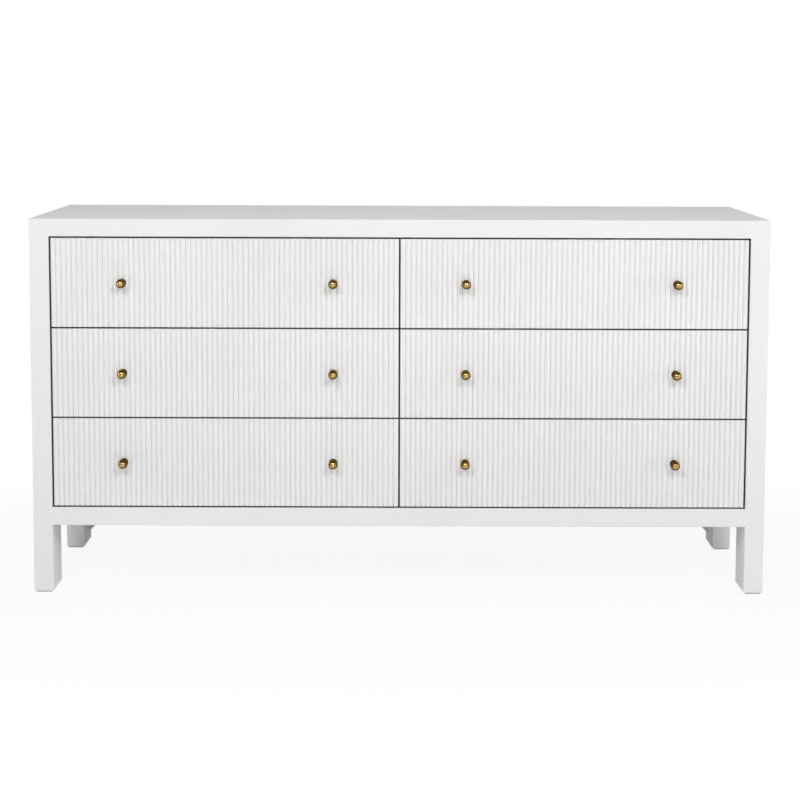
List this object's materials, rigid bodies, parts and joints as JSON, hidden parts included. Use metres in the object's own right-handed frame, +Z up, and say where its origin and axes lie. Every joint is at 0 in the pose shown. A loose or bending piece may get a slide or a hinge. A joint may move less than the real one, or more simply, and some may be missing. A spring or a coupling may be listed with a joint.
{
  "type": "chest of drawers",
  "caption": "White painted chest of drawers: reeded drawer fronts with brass ball knobs, flush in a frame of thick boards whose sides run down to the floor as legs.",
  "frame": {"origin": "on the floor, at the centre of the rectangle that the chest covers with its knobs", "axes": "+X along the width to the right as seen from the front, +Y from the front to the back, +Z up"},
  "size_m": [1.6, 0.5314, 0.823],
  "materials": {
    "white_paint": "satin white sprayed paint on fibreboard",
    "white_backing": "matt white faced hardboard",
    "birch": "clear matt lacquer on birch",
    "beech": "waxed beech",
    "brass": "polished and lacquered",
    "grey_felt": "pressed felt"
  },
  "bodies": {
    "case": {"top_panel": "white_paint", "left_side_panel": "white_paint", "right_side_panel": "white_paint", "front_rail": "white_paint", "bottom_panel": "white_paint", "rear_rail": "white_paint", "centre_partition": "white_paint", "back_panel": "white_backing", "left_corner_bracket": "white_paint", "right_corner_bracket": "white_paint", "front_left_glide": "grey_felt", "front_right_glide": "grey_felt", "rear_left_glide": "grey_felt", "rear_right_glide": "grey_felt", "top_left_outer_runner": "beech", "top_left_inner_runner": "beech", "top_right_outer_runner": "beech", "top_right_inner_runner": "beech", "middle_left_outer_runner": "beech", "middle_left_inner_runner": "beech", "middle_right_outer_runner": "beech", "middle_right_inner_runner": "beech", "bottom_left_outer_runner": "beech", "bottom_left_inner_runner": "beech", "bottom_right_outer_runner": "beech", "bottom_right_inner_runner": "beech"},
    "top_left_drawer": {"top_left_front": "white_paint", "top_left_drawer_box": "birch", "top_left_drawer_bottom": "birch", "top_left_outer_knob": "brass", "top_left_inner_knob": "brass"},
    "top_right_drawer": {"top_right_front": "white_paint", "top_right_drawer_box": "birch", "top_right_drawer_bottom": "birch", "top_right_outer_knob": "brass", "top_right_inner_knob": "brass"},
    "middle_left_drawer": {"middle_left_front": "white_paint", "middle_left_drawer_box": "birch", "middle_left_drawer_bottom": "birch", "middle_left_outer_knob": "brass", "middle_left_inner_knob": "brass"},
    "middle_right_drawer": {"middle_right_front": "white_paint", "middle_right_drawer_box": "birch", "middle_right_drawer_bottom": "birch", "middle_right_outer_knob": "brass", "middle_right_inner_knob": "brass"},
    "bottom_left_drawer": {"bottom_left_front": "white_paint", "bottom_left_drawer_box": "birch", "bottom_left_drawer_bottom": "birch", "bottom_left_outer_knob": "brass", "bottom_left_inner_knob": "brass"},
    "bottom_right_drawer": {"bottom_right_front": "white_paint", "bottom_right_drawer_box": "birch", "bottom_right_drawer_bottom": "birch", "bottom_right_outer_knob": "brass", "bottom_right_inner_knob": "brass"}
  },
  "joints": [
    {"name": "top_left_slide", "type": "slide", "parent": "case", "child": "top_left_drawer", "axis": [0, -1, 0], "range_m": [0, 0.34]},
    {"name": "top_right_slide", "type": "slide", "parent": "case", "child": "top_right_drawer", "axis": [0, -1, 0], "range_m": [0, 0.34]},
    {"name": "middle_left_slide", "type": "slide", "parent": "case", "child": "middle_left_drawer", "axis": [0, -1, 0], "range_m": [0, 0.34]},
    {"name": "middle_right_slide", "type": "slide", "parent": "case", "child": "middle_right_drawer", "axis": [0, -1, 0], "range_m": [0, 0.34]},
    {"name": "bottom_left_slide", "type": "slide", "parent": "case", "child": "bottom_left_drawer", "axis": [0, -1, 0], "range_m": [0, 0.34]},
    {"name": "bottom_right_slide", "type": "slide", "parent": "case", "child": "bottom_right_drawer", "axis": [0, -1, 0], "range_m": [0, 0.34]}
  ]
}
